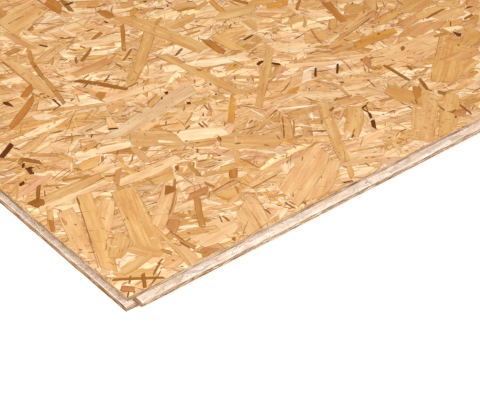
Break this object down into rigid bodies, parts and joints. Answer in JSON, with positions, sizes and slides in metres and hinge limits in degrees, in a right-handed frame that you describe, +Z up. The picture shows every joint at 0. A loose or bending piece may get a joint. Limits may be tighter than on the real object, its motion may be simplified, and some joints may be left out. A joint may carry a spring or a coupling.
{
  "type": "tongue and groove osb panel",
  "caption": "Flat oriented strand board panel with a tongue on one long and one short edge and a matching groove on the edges opposite, for floors, walls and roofs.",
  "frame": {"origin": "centre of the bounding box, on the face that the panel lies on", "axes": "+X along the length, towards the end tongue; +Y across the width, towards the side groove; +Z up, out of the worked face"},
  "size_m": [2.5, 0.675, 0.018],
  "materials": {
    "osb": "pressed wood strands, matt with a faint resin sheen"
  },
  "bodies": {
    "root": {"osb_panel": "osb"}
  },
  "joints": []
}
